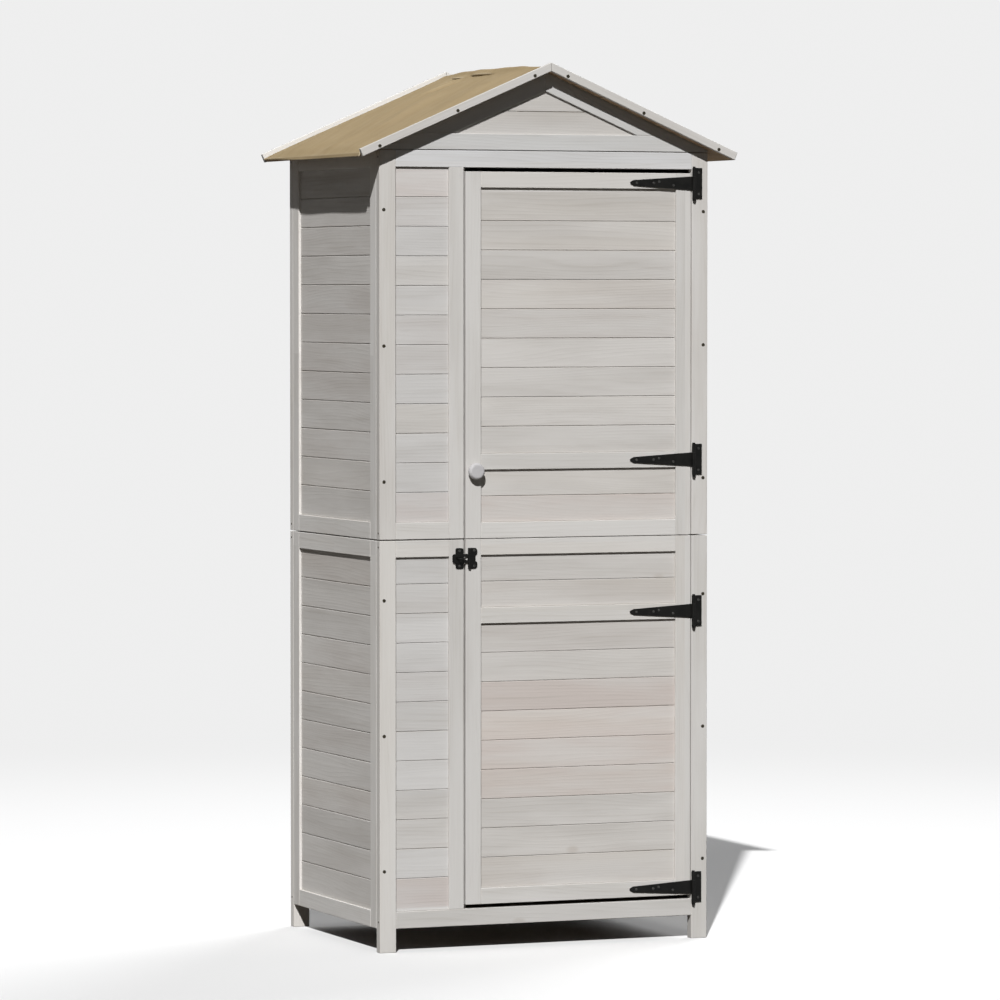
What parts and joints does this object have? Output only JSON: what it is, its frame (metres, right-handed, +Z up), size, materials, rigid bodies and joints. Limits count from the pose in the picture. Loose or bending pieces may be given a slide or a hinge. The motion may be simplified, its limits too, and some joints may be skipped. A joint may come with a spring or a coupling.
{
  "type": "tool shed",
  "caption": "Tall narrow wooden tool shed with a pitched felt roof, board walls in framed half panels, a hinged boarded door, a turned knob and a padlock hasp.",
  "frame": {"origin": "on the ground under the middle of the roof", "axes": "+Z up, +Y from the door side to the back, +X to the right as seen from the front"},
  "size_m": [0.8274, 0.5806, 1.7922],
  "materials": {
    "washed_wood": "pale grey-white wash over softwood, matt",
    "bare_wood": "untreated softwood",
    "roofing_felt": "tan mineral-faced roofing felt",
    "black_iron": "black paint, satin",
    "screw_steel": "dull dark zinc"
  },
  "bodies": {
    "shed": {"back_boards_lower": "washed_wood", "back_boards_upper": "washed_wood", "back_rails": "washed_wood", "barge_screws": "screw_steel", "door_jamb_lower": "washed_wood", "door_jamb_upper": "washed_wood", "door_stop": "washed_wood", "floor_bearers": "bare_wood", "floor_boards": "bare_wood", "frame_fitting_screws": "black_iron", "front_barge_boards": "washed_wood", "front_bottom_rail": "washed_wood", "front_gable_boards": "washed_wood", "front_gable_frame": "washed_wood", "front_left_leg_lower": "washed_wood", "front_left_leg_upper": "washed_wood", "front_panel_boards_lower": "washed_wood", "front_panel_boards_upper": "washed_wood", "front_panel_rails": "washed_wood", "front_right_leg_lower": "washed_wood", "front_right_leg_upper": "washed_wood", "front_top_rail": "washed_wood", "hasp_staple": "black_iron", "hinge_leaves": "black_iron", "hinge_pins": "black_iron", "joining_cleats": "washed_wood", "left_side_boards_lower": "washed_wood", "left_side_boards_upper": "washed_wood", "left_side_frame_lower": "washed_wood", "left_side_frame_upper": "washed_wood", "leg_screws": "screw_steel", "rear_barge_boards": "washed_wood", "rear_gable_boards": "washed_wood", "rear_gable_frame": "washed_wood", "rear_left_leg_lower": "washed_wood", "rear_left_leg_upper": "washed_wood", "rear_right_leg_lower": "washed_wood", "rear_right_leg_upper": "washed_wood", "right_side_boards_lower": "washed_wood", "right_side_boards_upper": "washed_wood", "right_side_frame_lower": "washed_wood", "right_side_frame_upper": "washed_wood", "roof_battens": "bare_wood", "roof_deck_left": "bare_wood", "roof_deck_right": "bare_wood", "roof_felt": "roofing_felt"},
    "door": {"door_stiles_lower": "washed_wood", "door_stiles_upper": "washed_wood", "door_rails_lower": "washed_wood", "door_rails_upper": "washed_wood", "door_boards_lower": "washed_wood", "door_boards_upper": "washed_wood", "door_battens": "washed_wood", "door_knob": "washed_wood", "knob_screw": "screw_steel", "hinge_straps": "black_iron", "door_fitting_screws": "black_iron", "hasp_hinge_plate": "black_iron", "hasp_pin": "black_iron"},
    "hasp": {"hasp_strap": "black_iron"}
  },
  "joints": [
    {"name": "door_hinge", "type": "hinge", "parent": "shed", "child": "door", "pos_m": [0.328, -0.2623, 0.83], "axis": [0, 0, 1], "range_deg": [0, 175]},
    {"name": "hasp_hinge", "type": "hinge", "parent": "door", "child": "hasp", "pos_m": [-0.167, -0.2608, 0.791], "axis": [0, 0, 1], "range_deg": [0, 170]}
  ]
}
